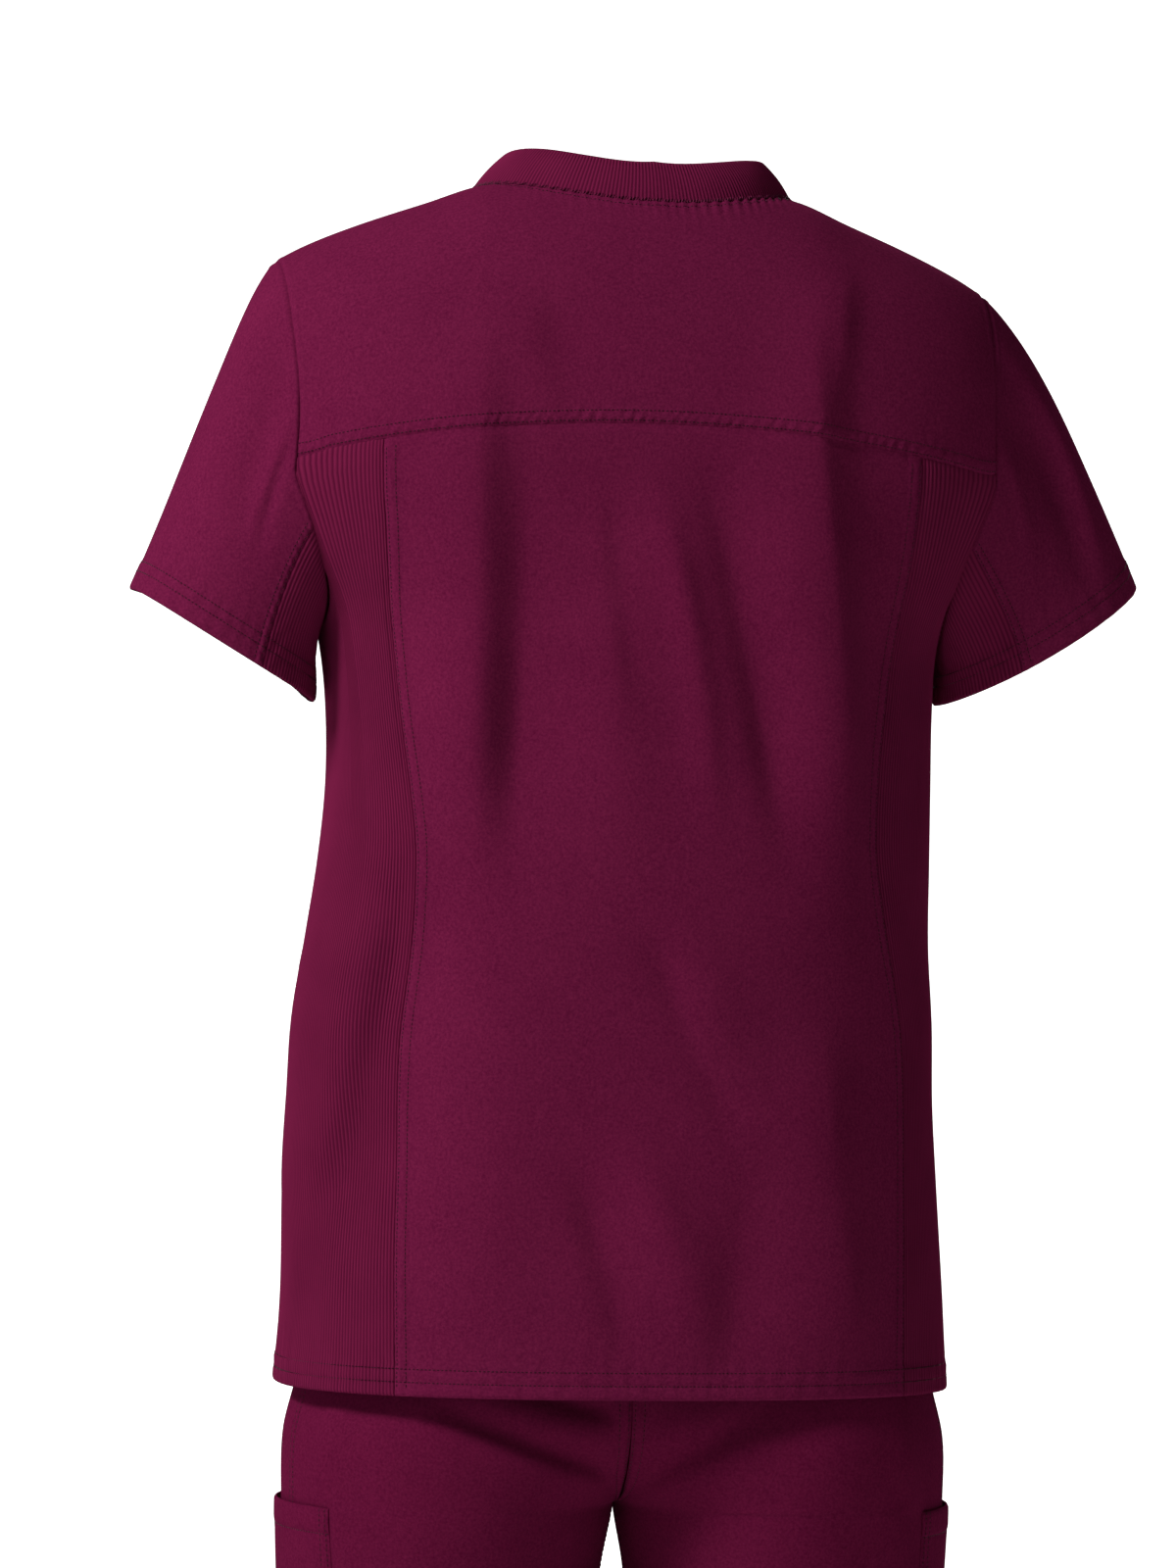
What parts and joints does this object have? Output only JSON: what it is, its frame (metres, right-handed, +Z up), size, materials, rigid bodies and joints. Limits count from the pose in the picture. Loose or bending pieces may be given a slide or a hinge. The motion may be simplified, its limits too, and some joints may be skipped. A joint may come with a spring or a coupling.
{
  "type": "medical scrubs set",
  "caption": "Short-sleeved V-neck scrub top with rib side panels, worn over straight-leg cargo scrub trousers; hollow, as worn.",
  "frame": {"origin": "middle of the neck opening at the height of the neck ends of the shoulder seams, where the wearer's shoulders hold the set up", "axes": "+Z up, the front of the garment faces -Y, the wearer's left is +X"},
  "size_m": [0.6132, 0.256, 1.573],
  "materials": {
    "woven_cloth": "wine-coloured stretch cloth, matt with a soft sheen",
    "rib_knit": "wine-coloured fine rib knit, matt"
  },
  "bodies": {
    "root": {"collar": "rib_knit", "yoke": "woven_cloth", "back_panel": "woven_cloth", "front_panel": "woven_cloth", "side_panel_left": "rib_knit", "side_panel_right": "rib_knit", "sleeve_left": "woven_cloth", "sleeve_right": "woven_cloth", "sleeve_gusset_left": "rib_knit", "sleeve_gusset_right": "rib_knit", "waistband": "woven_cloth", "trouser_back_left": "woven_cloth", "trouser_back_right": "woven_cloth", "trouser_front_left": "woven_cloth", "trouser_front_right": "woven_cloth", "cargo_pocket_left": "woven_cloth", "cargo_pocket_right": "woven_cloth"}
  },
  "joints": []
}
